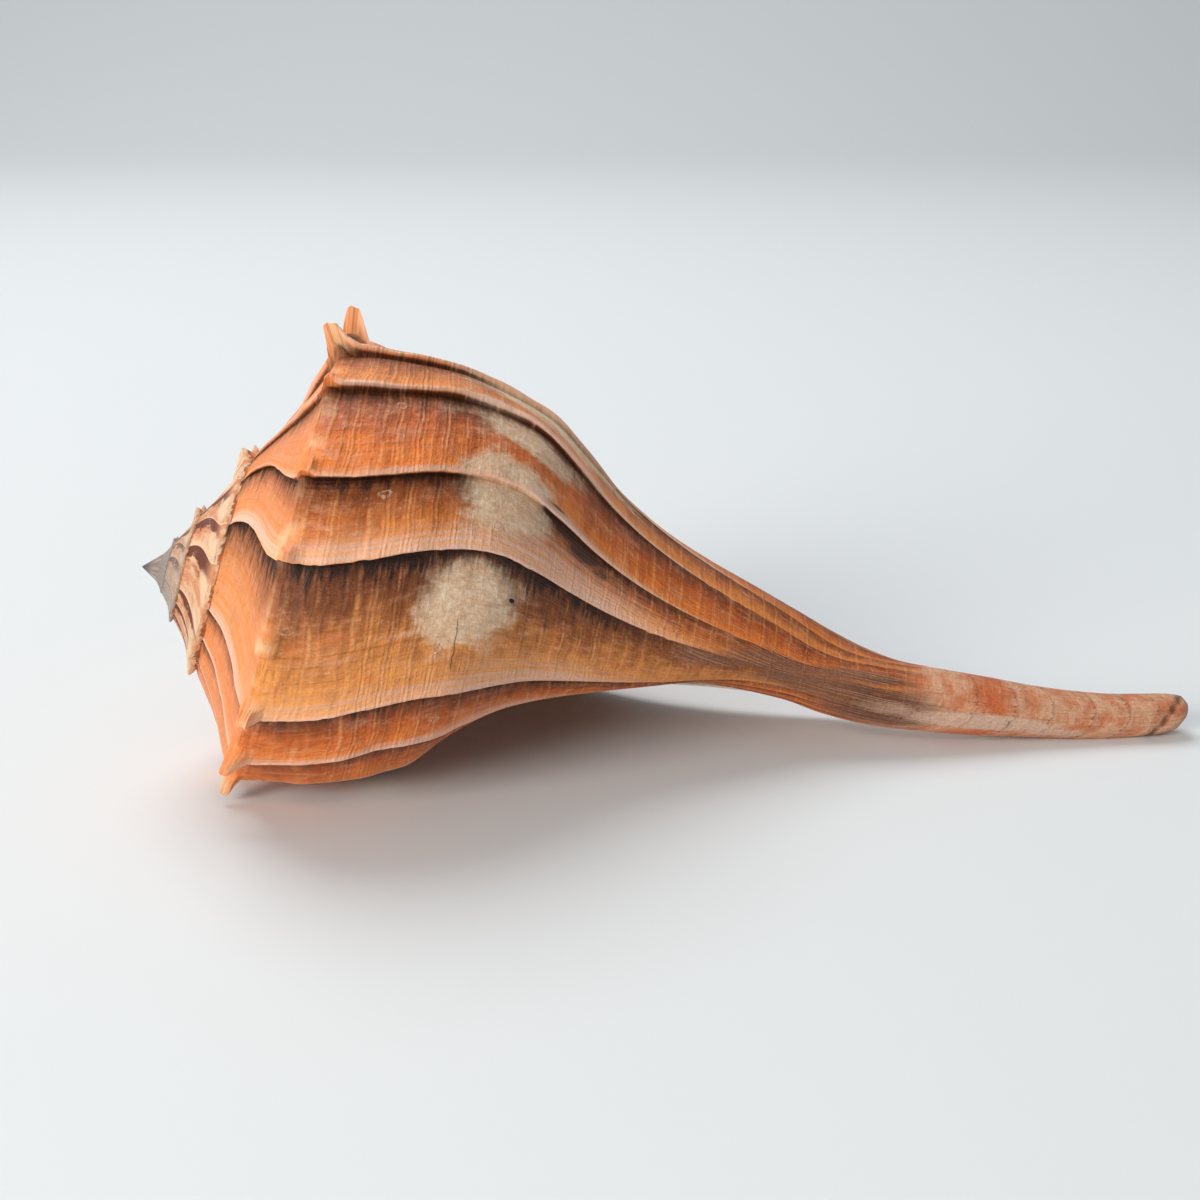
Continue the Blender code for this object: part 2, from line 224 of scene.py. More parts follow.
# Marks on the body: distance from the apex and growth angle of the middle, half of the width
# along the axis and round it, strength.
CREAM_PATCHES = (
    (43.2, 24.0, 6.0, 13.5, 1.0),
    (43.6, 55.0, 6.2, 11.0, 1.0),
    (43.0, 79.0, 9.0, 7.5, 0.7),
    (43.0, 103.0, 8.0, 11.0, 1.0),
    (51.0, 109.0, 9.0, 10.0, 0.8),
    (42.0, 150.0, 5.0, 12.0, 0.7),
    (44.0, 190.0, 5.0, 10.0, 0.7),
    (43.0, -60.0, 4.0, 12.0, 0.7),
)
# Dark patches just under one ledge: dark brown with painted shadow of its overhang.
DARK_AND_SHADOW_PATCHES = (
    (49.6, 59.6, 1.6, 2.4, 1.0),
    (51.8, 57.2, 2.2, 3.0, 1.0),
    (54.8, 53.6, 2.6, 3.4, 1.0),
    (58.0, 50.0, 2.2, 2.4, 0.6),
)
SMOKY_PATCHES = (
    (82.0, 32.0, 6.0, 16.0, 1.0),
    (88.0, 10.0, 7.0, 30.0, 1.0),
    (94.0, -14.0, 6.0, 44.0, 1.0),
    (76.0, 20.0, 6.0, 12.0, 0.8),
    (90.0, 44.0, 6.0, 14.0, 0.9),
    (85.0, 120.0, 5.0, 25.0, 0.5),
)
BARNACLE_SCARS = (
    (43.5, 32.1), (28.2, 68.0), (41.1, -3.1), (44.8, -28.8), (29.4, 41.0), (25.0, 8.0), (34.0, 96.0),
)
SCAR_RADIUS = 0.45
TIP_GROOVE = (126.4, 0.6)
ORANGE_PATCH = (102.0, 3.0)
BLACK_SPECK = (48.5, 13.6)
HAIR_CRACK = (43.2, -2.0)
WORN_EDGES = (
    (104.0, -14.0, 8.0, 18.0, 1.0),
    (94.0, -6.0, 3.0, 14.0, 0.7),
    (112.0, -30.0, 6.0, 16.0, 0.6),
)

# For each panel: how golden it is, width of its pale rim in millimetres and how dark it is just
# under the next ledge, in dark brown and painted shadow of its overhang.
PANEL_GOLD = (0.4, 0.5, 0.3, 0.2, 0.2, 1.0, 1.0, 0.55, 0.15, 0.55, 0.3, 0.2, 0.5, 0.3, 0.6, 0.3)
RIM_WIDTH = (0.5, 0.5, 0.5, 0.6, 1.3, 3.2, 0.1, 2.6, 0.35, 0.4, 0.9, 0.6, 0.5, 0.8, 0.5, 0.5)
PANEL_SHADE = (0.7, 0.7, 0.8, 0.9, 0.9, 0.0, 1.0, 0.9, 0.75, 0.55, 0.7, 0.8, 0.8, 0.8, 0.8, 0.7)
BUMP_LEDGE = 6
RIM_BROADER = 1.4
RIM_BROADENS = (40.0, 52.0)
RIM_NARROWS = (80.0, 60.0)
RIM_BRIGHTNESS = 1.4
RIM_ENDS = (88.0, 62.0)
SHADE_ENDS = (80.0, 56.0)
CANAL_TONE = (87.0, 100.0)
RING_SLANT = (2.2, 200.0)
GROOVE_SLANT = (1.6, -60.0)

# The shoulder is pale in a band, and on the spire in knobs: middle and width across it in
# millimetres, place and least strength along a panel.
PALE_SHOULDER = (-0.3, 1.9)
PALE_KNOB = (-2.5, 4.5)
PALE_PART = 0.35
PALE_LEAST = 0.40
OLD_AGE = 0.93

# The pattern follows the coil's growth on the ramp and true distances further down.
RAMP_WIDTH = 16.0
STRAIGHT_PATTERN = (20.0, 34.0)

# Noises on the coil: size of the grains along the axis and round it in millimetres, detail,
# roughness and seed.
NOISES = {
    "streak": (0.85, 7.0, 3.0, 0.6, 0.0),
    "fine_streak": (0.40, 2.6, 2.0, 0.6, 3.0),
    "growth_line": (18.0, 0.55, 3.0, 0.7, 7.0),
    "cloud": (5.5, 4.0, 3.0, 0.6, 11.0),
    "mottle": (0.9, 0.8, 4.0, 0.7, 15.0),
    "blotch": (2.6, 2.2, 5.0, 0.7, 43.0),
    "broad": (1.7, 16.0, 2.0, 0.6, 35.0),
    "pink_wear": (3.4, 1.8, 4.0, 0.7, 47.0),
    "cord_wobble": (6.0, 5.0, 1.0, 0.5, 19.0),
    "ring_wobble": (9.0, 3.0, 1.0, 0.5, 23.0),
}
VEIN_GRAINS = (16.0, 0.8, 3.0, 0.65, 39.0)
RING_GRAINS = (2.2, 30.0, 3.0, 0.6, 27.0)
INSIDE_GRAINS = (9.0, 6.0, 2.0, 0.5, 31.0)

# The colour sockets of a Mix node go by number, because their names come several times.
MIX_FACTOR = 0
MIX_A = 6
MIX_B = 7
MIX_RESULT = 2


def smooth_step(value):
    value = np.clip(value, 0.0, 1.0)
    return value * value * (3.0 - 2.0 * value)


def rise(value, span):
    """0 before the start of a span and 1 beyond its end, which may be the lower of the two."""
    return smooth_step((value - span[0]) / (span[1] - span[0]))


def smooth_curve(stations, values, where):
    """A smooth curve through a few stations, with no overshoot."""
    step = np.diff(stations)
    slope = np.diff(values) / step
    tangent = np.zeros_like(values)
    same = slope[:-1] * slope[1:] > 0.0
    mean = 2.0 * slope[:-1] * slope[1:] / np.where(same, slope[:-1] + slope[1:], 1.0)
    tangent[1:-1] = np.where(same, mean, 0.0)
    tangent[0] = slope[0]
    tangent[-1] = slope[-1]
    where = np.clip(where, stations[0], stations[-1])
    index = np.clip(np.searchsorted(stations, where) - 1, 0, len(step) - 1)
    width = step[index]
    part = (where - stations[index]) / width
    low = values[index] * (1.0 + 2.0 * part) + width * tangent[index] * part
    high = values[index + 1] * (3.0 - 2.0 * part) - width * tangent[index + 1] * (1.0 - part)
    return low * (1.0 - part) ** 2 + high * part ** 2


def growth(angle):
    """Size of the coil at a growth angle, 1 where the body whorl stands highest."""
    turns = (np.asarray(angle, float) - TOP_ANGLE) / TURN
    return np.where(turns < 0.0, WHORL_GROWTH ** turns, LAST_GROWTH ** turns)


def outer_radius(along, angle):
    """Radius of the smooth outer surface below the shoulder."""
    size = growth(angle)
    body = size * smooth_curve(*BODY_OUTLINE, (along - APEX_HEIGHT) / size + APEX_HEIGHT)
    canal = smooth_curve(*CANAL_OUTLINE[:2], along)
    station = along / MM
    waist = rise(station, WAIST) * rise(station, WAIST_END) * rise(angle, UNDERSIDE)
    body = body * (1.0 - WAIST_DEPTH * waist)
    return (body ** 4 + canal ** 4) ** 0.25


def shoulder_line(angle):
    """Distance along the axis and radius of the shoulder."""
    radius = SHOULDER_RADIUS * growth(angle)
    return APEX_HEIGHT + SHOULDER_SLOPE * radius, radius


def suture_line(angle):
    """The line just below the shoulder, where the next turn of the coil grows on."""
    along, radius = shoulder_line(angle)
    drop = UNDER_SHOULDER * growth(angle)
    return along + drop, radius + UNDER_SHOULDER_OUT * drop


def row_stations():
    """Place of every row: 0 to 1 down the ramp, on to 2 below the shoulder, 3 on the body, and
    the distance down the body, 0 above it."""
    ramp = np.sin(np.linspace(0.0, 1.0, RAMP_CELLS) * math.pi / 2.0) ** RAMP_CROWDING
    ramp = np.insert(ramp, 1, SUTURE_GAP)
    below = np.linspace(1.0, 2.0, SHOULDER_CELLS + 1)[1:]
    body = np.linspace(BODY_START, BODY_MIDDLE, BODY_CELLS)
    neck = np.linspace(BODY_MIDDLE, BODY_END, NECK_CELLS)[1:]
    stations = np.concatenate([body, neck])
    parts = np.concatenate([ramp, below, np.full(len(stations), 3.0)])
    stations = np.concatenate([np.zeros(len(ramp) + len(below)), stations])
    return parts, stations


RAMP_PART, STATION = row_stations()
SHOULDER_ROW = RAMP_CELLS
SUTURE_ROW = RAMP_CELLS + SHOULDER_CELLS
ROWS = len(STATION)
ROW = np.arange(ROWS)


def profile(angle, row=ROW, hollow=RAMP_HOLLOW):
    """Distance along the axis and radius of rows of the smooth shell at growth angles."""
    part = np.minimum(RAMP_PART[row], 1.0)
    start = suture_line(angle - TURN)
    end = shoulder_line(angle)
    sag = hollow * (end[1] - start[1]) * np.sin(math.pi * part)
    ramp_along = start[0] + (end[0] - start[0]) * part + sag
    ramp_radius = start[1] + (end[1] - start[1]) * part - sag
    under = suture_line(angle)
    body_along = STATION[row] * MM * growth(angle) ** (1.0 - rise(STATION[row], FIXED_ROWS))
    body_radius = outer_radius(body_along, angle)
    drop = np.clip(RAMP_PART[row] - 1.0, 0.0, 1.0)
    edge_along = end[0] + (under[0] - end[0]) * drop
    edge_radius = end[1] + (under[1] - end[1]) * drop
    on_ramp = row <= SHOULDER_ROW
    on_edge = row <= SUTURE_ROW
    along = np.where(on_ramp, ramp_along, np.where(on_edge, edge_along, body_along))
    radius = np.where(on_ramp, ramp_radius, np.where(on_edge, edge_radius, body_radius))
    return along, radius


def place(along, radius, angle):
    """World positions of points of the shell frame."""
    forward = np.array([
        math.cos(AXIS_TILT) * math.cos(AXIS_YAW),
        math.cos(AXIS_TILT) * math.sin(AXIS_YAW),
        -math.sin(AXIS_TILT),
    ])
    near = np.array([math.sin(AXIS_YAW), -math.cos(AXIS_YAW), 0.0])
    up = np.cross(near, forward)
    lift = smooth_curve(*CANAL_OUTLINE[::2], along)
    turned = np.radians(angle)
    middle = APEX + forward * along[..., None] + up * lift[..., None]
    outward = near * np.cos(turned)[..., None] + up * np.sin(turned)[..., None]
    return middle + outward * radius[..., None]


def rest_on_table(points):
    """What would reach below the table is worn flat there."""
    points[..., 2] = np.maximum(points[..., 2], TABLE)
    return points


def waver(where, spread, seed):
    """Smooth irregular values from -1 to 1 at the given places."""
    flat = np.asarray(where, float).reshape(-1)
    values = [noise.noise(Vector((value / spread, seed * SEED_STEP, 0.0))) for value in flat]
    return np.array(values).reshape(np.shape(where))


def columns(start, stop):
    """Growth angle, step on the panel and ledge number of the mesh columns."""
    index = np.arange(start, stop)
    panel = index // PER_PANEL
    step = index % PER_PANEL
    turn = panel // len(LEDGE_ANGLES)
    ledge = panel % len(LEDGE_ANGLES)
    angles = np.array(LEDGE_ANGLES + (LEDGE_ANGLES[0] + TURN,), float)
    part = PANEL_COLUMNS[step, 0]
    angle = angles[ledge] + (angles[ledge + 1] - angles[ledge]) * part + TURN * turn
    return angle, step, ledge


def each(values, ledge):
    """The value of every column's ledge, as a column of its own."""
    return np.array(values)[ledge][:, None]


def lean(angle):
    """How far a growth line runs ahead of its place on the shoulder, in degrees, in each row."""
    angle = angle[:, None]
    ahead = rise(STATION, LEAN_AHEAD) - rise(STATION, LEAN_BACK)
    return GROWTH_LEAN * ahead * rise(angle, LEAN_BEGINS) * rise(angle, LEAN_ENDS)


def canal_share():
    """0 in the body whorl and 1 along the canal, for each row."""
    return rise(STATION, SLOT_OPENS)


def slot_angle():
    """Half the angle that the open canal takes in each row, in degrees."""
    return SLOT_ANGLE * canal_share()


def ramp_shift(start, last):
    """How many columns a growth line runs ahead on the ramp by the time it meets the suture."""
    left = last - np.arange(start, last + 1)
    return PER_PANEL * np.clip(left / LEAN_FADE_COLUMNS, 0.0, 1.0)


def leaned_angles(start, last):
    """Growth angle of every mesh point, with the lean of the growth lines and the canal's slot."""
    index = np.arange(start, last + 1)
    angle = columns(start, last + 1)[0]
    wide = np.arange(start, last + 1 + PER_PANEL)
    shifted = np.interp(index + ramp_shift(start, last), wide, columns(wide[0], wide[-1] + 1)[0])
    ramp = smooth_step(1.0 - np.minimum(RAMP_PART, 1.0))
    turned = angle[:, None] + (shifted - angle)[:, None] * ramp
    across_turn = (index - last + PER_TURN) / PER_TURN
    slot = slot_angle() * (1.0 - 2.0 * across_turn[:, None])
    return turned + np.where(across_turn[:, None] >= 0.0, lean(angle) + slot, 0.0)


def worn_old(angle):
    """0 on the last turn of the coil and 1 on the worn turns of the spire."""
    return rise(angle[-1] - angle, OLD_TURNS)[:, None]


def spines(along, radius, angle, step, ledge):
    """How far spines and old nodules stand out at every mesh point, and the share of a tip."""
    size = growth(angle)[:, None]
    shoulder = shoulder_line(angle)
    across = np.hypot(along - shoulder[0][:, None], radius - shoulder[1][:, None]) / size / MM
    behind = PANEL_COLUMNS[step, 0][:, None] * PANEL_LENGTH
    on_ramp = RAMP_PART <= 1.0
    strength = each(SPINE_STRENGTH, ledge)
    next_strength = each(np.roll(SPINE_STRENGTH, -1), ledge)
    wide = each(SPINE_WIDTH, ledge)
    finger = 1.0 - smooth_step((across - FINGER_FLAT * wide) / ((1.0 - FINGER_FLAT) * wide))
    back = 1.0 - smooth_step((behind - BACK_FLAT * wide) / (BACK_SLOPE * wide))
    ahead = 1.0 - smooth_step((PANEL_LENGTH - behind) / FRONT_LENGTH)
    skirt = np.exp(-(across / np.where(on_ramp, SKIRT_ON_RAMP, SKIRT_ON_BODY)) ** 2)
    skirt = skirt * np.exp(-behind / SKIRT_LENGTH)
    reach = (1.0 - SKIRT_SHARE) * finger * back + SKIRT_SHARE * skirt
    reach *= np.where(step == 0, EDGE_SHARE, 1.0)[:, None]
    nodule = 1.0 - smooth_step(across / np.where(on_ramp, NODULE_ON_RAMP, NODULE_ON_BODY))
    wave = 0.5 + 0.5 * np.cos((behind - NODULE_MIDDLE) * NODULE_WAVE)
    nodule = nodule * wave * NODULE_SHARE
    old = worn_old(angle)
    front = FRONT_SHARE * finger * ahead * next_strength
    out = (reach * strength + front) * (1.0 - old) + nodule * old * strength
    return out, finger * back * np.minimum(1.0, strength) * (1.0 - old)


def outer_surface(start, last, shape):
    """World positions and growth angles of the outer surface, columns by rows."""
    angle, step, ledge = columns(start, last + 1)
    turned = leaned_angles(start, last)
    size = growth(angle)[:, None]
    along, radius = profile(turned)
    station = along / size / MM
    young = rise(angle, YOUNG_TURNS)[:, None]

    strength = each(LEDGE_STRENGTH, ledge)
    started = rise(angle[:, None], LEDGES_BEGIN)
    below = rise(station, LEDGES_END) * np.where(RAMP_PART > 2.0, started, 1.0)
    ramp = RAMP_PART
    above = (LEDGE_AT_SUTURE + (1.0 - LEDGE_AT_SUTURE) * ramp) * rise(ramp, SUTURE_FADE)
    fade = np.where(ramp < 1.0, above, below)
    where = STATION + RAMP_PART * RAMP_LENGTH
    numbers = range(len(LEDGE_ANGLES))
    wave = np.array([waver(where, WAVE_LENGTH, number) for number in numbers])
    uneven = 1.0 + WAVE_SHARE * wave[ledge]
    nicks = np.array([waver(where, NICK_LENGTH, number + NICK_SEED) for number in numbers])
    old = worn_old(angle)
    ridge = PANEL_COLUMNS[step, 1][:, None]
    height = shape.ledge_height * size * ridge * strength * fade * young * uneven
    height = height * (1.0 - OLD_LEDGE_LOSS * old)
    spine, tip = spines(along, radius, angle, step, ledge)
    spine = shape.spine_length * size * young * spine
    missing = np.maximum(0.0, shoulder_line(angle)[1][:, None] - radius)
    radius = radius + TIP_LIFT * tip * missing

    tilt = smooth_step((1.0 - np.clip(ramp, 0.0, 1.0)) * RAMP_STEEPNESS)
    lean_along = each(SPINE_LEAN, ledge)
    along = along - height * RAMP_SLIDE * tilt - lean_along * spine
    radius = radius + height * (1.0 - RAMP_FLATTEN * tilt) + spine
    hang = PANEL_COLUMNS[step, 2][:, None] * strength * fade * uneven * young * (1.0 - old)
    hang = hang * (1.0 + NICK_SHARE * nicks[ledge])
    turned = turned - np.degrees(shape.ledge_overhang / SHOULDER_RADIUS) * hang
    points = rest_on_table(place(along, radius, turned))

    # Row 0 of a turn is the line below the shoulder of the turn before.
    joined = np.round(np.arange(len(angle)) - PER_TURN + ramp_shift(start, last)).astype(int)
    inside = joined >= 0
    points[inside, 0] = points[joined[inside], SUTURE_ROW]
    return points, turned


def inner_profile(angle, wall):
    """The rows of the outer surface moved into the shell by the wall."""
    along, radius = profile(angle, ROW, 0.0)
    before = profile(angle, np.maximum(ROW - 1, 0), 0.0)
    after = profile(angle, np.minimum(ROW + 1, ROWS - 1), 0.0)
    run_along = after[0] - before[0]
    run_radius = after[1] - before[1]
    length = np.maximum(np.hypot(run_along, run_radius), 1e-9)
    return along + run_radius / length * wall, radius - run_along / length * wall


def floor_profile(angle, part):
    """The hollow's floor, which is the turn before, moved clear of the wall above it."""
    along, _ = profile(angle, np.maximum(ROW, SUTURE_ROW))
    suture, _ = suture_line(angle)
    away = smooth_step((along - suture) / (SUTURE_WALL_REACH * SUTURE_WALL))
    along = along + SUTURE_WALL * np.minimum(1.0, part * SUTURE_WALL_GROWTH) * (1.0 - away)
    return along, outer_radius(along, angle)


def hollow_surface(lip):
    """World positions of the hollow, from the lip inwards and back out to the columella."""
    share = canal_share()
    slot = slot_angle()
    part = np.linspace(0.0, 1.0, POCKET_STEPS + 1)[:, None]
    turn = POCKET_TURN - POCKET_SHORTER * rise(STATION, POCKET_SHORTENS)
    wall = WALL * (1.0 - (1.0 - CANAL_WALL_PART) * share)
    wall = wall * np.minimum(1.0, LIP_EDGE_PART + part * LIP_EDGE_GROWTH)
    body_angle = lip - turn * part
    canal_angle = lip - slot - (HALF_TURN - slot) * part
    angle = body_angle + (canal_angle - body_angle) * share
    along, radius = inner_profile(angle, wall)

    # The roof of the hollow meets the wall above it in a corner at the suture.
    start_along, start_radius = floor_profile(angle - TURN, part)
    inside_along, inside_radius = inner_profile(angle, wall * ROOF_WALL_PART)
    mix = np.minimum(RAMP_PART, 1.0)
    on_ramp = ROW <= SHOULDER_ROW
    along = np.where(on_ramp, start_along * (1.0 - mix) + inside_along * mix, along)
    radius = np.where(on_ramp, start_radius * (1.0 - mix) + inside_radius * mix, radius)
    outer = place(along, np.maximum(radius, SMALLEST_RADIUS), angle)

    body_angle = lip - TURN - turn * part
    along, radius = floor_profile(body_angle, part)
    floor = place(along, radius, body_angle)
    canal_angle = lip - TURN + slot + (HALF_TURN - slot) * part
    along, radius = inner_profile(canal_angle, wall[-1:])
    wall_points = place(along, np.maximum(radius, SMALLEST_RADIUS), canal_angle)
    floor = floor + (wall_points - floor) * share[..., None]

    outer_end = outer[-1].copy()
    floor_end = floor[-1].copy()
    outer[-1] = outer_end + (floor_end - outer_end) * POCKET_END_CURVE
    below = ROW > SUTURE_ROW
    floor[-1][below] = (floor_end + (outer_end - floor_end) * POCKET_END_CURVE)[below]
    points = np.concatenate([outer, floor[::-1]])
    depth = np.concatenate([part, part[::-1]]) * np.ones((1, ROWS))
    return rest_on_table(points), depth


def linear_colour(code):
    """A colour written as six hex digits, turned linear for the shader."""
    values = []
    for start in (0, 2, 4):
        value = int(code[start:start + 2], 16) / 255.0
        values.append(value / 12.92 if value <= 0.04045 else ((value + 0.055) / 1.055) ** 2.4)
    return (*values, 1.0)


def fill(tree, node, inputs):
    """Fills a node's inputs, by name or number, with links, values or colours in hex digits."""
    for name, value in inputs.items():
        socket = node.inputs[name]
        if isinstance(value, bpy.types.NodeSocket):
            tree.links.new(value, socket)
        else:
            socket.default_value = linear_colour(value) if isinstance(value, str) else value


def add_node(tree, kind, inputs, output=0, **settings):
    """Adds a shader node of a kind with its settings and inputs, and gives one of its outputs."""
    node = tree.nodes.new("ShaderNode" + kind)
    for name, value in settings.items():
        setattr(node, name, value)
    if isinstance(inputs, tuple):
        inputs = dict(enumerate(inputs))
    fill(tree, node, inputs)
    return node.outputs[output]


def share(tree, *parts):
    """How much of a mark shows: the product of its parts. A part is a value, or a value with
    where on it the mark starts and is full, and how full, with a soft step between the two."""
    total = None
    for part in parts:
        if isinstance(part, tuple):
            value, low, high, full = part if len(part) == 4 else (*part, 1.0)
            inputs = (value, low, high, 0.0, full)
            part = add_node(tree, "MapRange", inputs, interpolation_type="SMOOTHSTEP")
        if total is None:
            total = part
        else:
            total = add_node(tree, "Math", (total, part), operation="MULTIPLY")
    return total


def paint(tree, colour, *coats):
    """Lays coats over a colour. A coat is how much of it shows, as a value or as a value with
    where the coat starts and is full and its strength there, and then its own colour."""
    for *shown, tone in coats:
        shown = shown[0] if len(shown) == 1 else share(tree, tuple(shown))
        inputs = {MIX_FACTOR: shown, MIX_A: colour, MIX_B: tone}
        colour = add_node(tree, "Mix", inputs, MIX_RESULT, data_type="RGBA")
    return colour


def apart(tree, first, second):
    """How far two values are from each other."""
    away = add_node(tree, "Math", (first, second), operation="SUBTRACT")
    return add_node(tree, "Math", (away,), operation="ABSOLUTE")


def roughen(tree, value, *noises):
    """Adds noises to a value, each taken from -0.5 to 0.5 and times its amount."""
    for pattern, amount in noises:
        half = add_node(tree, "Math", (pattern, 0.5), operation="SUBTRACT")
        value = add_node(tree, "Math", (half, amount, value), operation="MULTIPLY_ADD")
    return value


def attribute(tree, name):
    """The three values of a point attribute."""
    three = add_node(tree, "Attribute", {}, "Vector", attribute_name=name)
    return add_node(tree, "SeparateXYZ", (three,)).node.outputs


def grain(tree, across, growing, size_across, size_growing, detail, rough, seed):
    """Noise on the coil with grains of the given sizes in millimetres, from about 0 to 1."""
    vector = add_node(
        tree,
        "CombineXYZ",
        {
            "X": add_node(tree, "Math", (across, size_across), operation="DIVIDE"),
            "Y": add_node(tree, "Math", (growing, size_growing), operation="DIVIDE"),
            "Z": seed,
        },
    )
    inputs = {"Vector": vector, "Scale": 1.0, "Detail": detail, "Roughness": rough}
    return add_node(tree, "TexNoise", inputs)


def fine_lines(tree, where, spacing, width):
    """1 on thin lines at uneven distances, measured in millimetres."""
    inputs = {
        "W": add_node(tree, "Math", (where, spacing), operation="DIVIDE"),
        "Scale": 1.0,
        "Randomness": 0.7,
    }
    cells = add_node(
        tree, "TexVoronoi", inputs, "Distance", voronoi_dimensions="1D", feature="DISTANCE_TO_EDGE"
    )
    far = share(tree, (cells, 0.0, width / spacing))
    return add_node(tree, "Math", (1.0, far), operation="SUBTRACT")


def mark_place(station, angle):
    """Where a mark lies in the pattern on the coil, in millimetres."""
    along = station * float(growth(angle + GROWTH_LEAN)) - SHOULDER_STATION
    return along, angle * PATTERN_PITCH, 0.0


def distance_from(tree, across, growing, mark):
    """Distance on the coil from a mark, in millimetres."""
    here = add_node(tree, "CombineXYZ", (across, growing))
    return add_node(tree, "VectorMath", (here, mark_place(*mark)), "Value", operation="DISTANCE")


def patterns(tree):
    """What the outside is painted from: the mesh's attributes, noises and fine lines."""
    at = SimpleNamespace()
    at.across, at.growing, at.ramp = attribute(tree, "coil")
    at.phase, at.cream, at.pit = attribute(tree, "marks")
    at.age, at.shoulder, at.canal = attribute(tree, "zone")
    at.gold, at.rim, at.shade = attribute(tree, "tone")
    at.smoke, at.ring_place, at.neck = attribute(tree, "wear")
    at.edge, at.groove, at.orange = attribute(tree, "tip")
    for name, grains in NOISES.items():
        setattr(at, name, grain(tree, at.across, at.growing, *grains))
    cord_place = roughen(tree, at.across, (at.cord_wobble, 0.9))
    at.cords = fine_lines(tree, cord_place, 0.95, 0.18)
    at.wide_cords = fine_lines(tree, cord_place, 2.1, 0.24)
    at.rings = fine_lines(tree, roughen(tree, at.growing, (at.ring_wobble, 1.2)), 1.1, 0.22)
    return at


def add_panels(tree, at):
    """Orange to brown along each panel, golden tan on some, and lighter on the ramp."""
    low = roughen(
        tree, at.phase, (at.growth_line, 0.25), (at.broad, 0.7), (at.blotch, 1.1), (at.streak, 0.35)
    )
    colour = paint(
        tree, at.panel_colour,
        (low, 0.05, 0.50, 1.0, "CC6420"),
        (low, 0.45, 0.95, 1.0, "88421A"),
    )
    tan = paint(tree, "F6B468", (low, 0.05, 0.85, 1.0, "8C5220"))
    colour = paint(tree, colour, (share(tree, at.gold, 0.85), tan))
    ramp_tone = paint(
        tree, "FF9E5C",
        (at.growth_line, 0.34, 0.70, 1.0, "F8B894"),
        (at.streak, 0.48, 0.66, 0.5, "FFC896"),
    )
    return paint(
        tree, colour,
        (at.cloud, 0.50, 0.72, 0.40, "E8743A"),
        (at.blotch, 0.50, 0.66, 0.35, "F2A873"),
        (at.growth_line, 0.52, 0.68, 0.20, "94502B"),
        (at.fine_streak, 0.54, 0.74, 0.22, "F2AE6C"),
        (at.ramp, 1.04, 0.9, 0.65, ramp_tone),
    )


def add_threads(tree, at, colour):
    """Pale threads on the rising cords, broken by the growth lines, then streaks, wear and painted
    glints.
    """
    thread = share(tree, at.cords, (at.growth_line, 0.40, 0.58, 0.22))
    wide = share(tree, (at.growth_line, 0.38, 0.54, 0.55))
    thread = add_node(tree, "Math", (thread, share(tree, at.wide_cords, wide)), operation="MAXIMUM")
    thread = share(tree, thread, (at.cloud, 0.36, 0.56))
    colour = paint(tree, colour, (thread, "FBC48C"))
    return paint(
        tree, colour,
        (at.streak, 0.56, 0.74, 0.32, "864620"),
        (at.pink_wear, 0.48, 0.68, 0.42, "F2B79A"),
        # White speckles: worn spots and painted glints of light.
        (at.mottle, 0.58, 0.72, 0.40, "FBE0C8"),
        (at.mottle, 0.42, 0.30, 0.35, "6E3A1E"),
    )


def add_pale_band(tree, at, colour):
    """The pale worn band round the middle of the whorl."""
    pale = paint(
        tree, "EDD2B6",
        (at.mottle, 0.38, 0.66, 1.0, "FFF2E2"),
        (at.cloud, 0.45, 0.6, 0.4, "E3B797"),
        (at.blotch, 0.50, 0.66, 0.45, "B68C68"),
    )
    ragged = roughen(tree, at.cream, (at.mottle, 0.30), (at.cloud, 1.3))
    return paint(tree, colour, (ragged, 0.14, 0.52, 0.96, pale))


def add_ledge_shade(tree, at, colour):
    """Dark teeth of brown and painted shadow under each ledge, gone where worn pale, and dark
    patches.
    """
    lacking = add_node(
        tree, "Math", (share(tree, (at.cream, 0.25, 0.75)), -0.9, 1.0), operation="MULTIPLY_ADD"
    )
    strong = share(tree, at.shade, lacking)
    strong = share(tree, strong, add_node(tree, "Math", (1.0, at.canal), operation="SUBTRACT"))
    low = roughen(tree, at.phase, (at.streak, 0.45), (at.fine_streak, 0.40))
    brown = share(tree, (low, 0.50, 0.94, 0.85), strong)
    colour = paint(tree, colour, (brown, "6A3C22"))
    # Near black right under each rim: painted shadow of the ledge's overhang, broken into teeth by
    # the streaks.
    deep = share(tree, (low, 0.82, 0.99), strong)
    colour = paint(tree, colour, (deep, "2C160A"))
    # Dark patches under one ledge: dark brown with painted shadow of its overhang.
    ragged = roughen(tree, at.pit, (at.growth_line, 0.8), (at.mottle, 1.0))
    return paint(tree, colour, (ragged, 0.25, 0.60, 0.92, "3A2218"))


def add_rims(tree, at, colour):
    """The raised rims of the ledges, pinkish with lilac grey growth lines, and the shoulder."""
    pink = paint(tree, at.rim_colour, (at.growth_line, 0.42, 0.60, 1.0, "F8DAD8"))
    rim = roughen(tree, at.rim, (at.growth_line, 0.6))
    bright = paint(tree, "FF9E58", (at.cloud, 0.42, 0.62, 1.0, "FFDAB4"))
    at.worn_shoulder = roughen(tree, at.shoulder, (at.streak, 0.6), (at.cloud, 0.7))
    return paint(
        tree, colour,
        (rim, 0.20, 0.85, 0.95, pink),
        (at.worn_shoulder, 0.15, 0.95, 0.9, bright),
    )


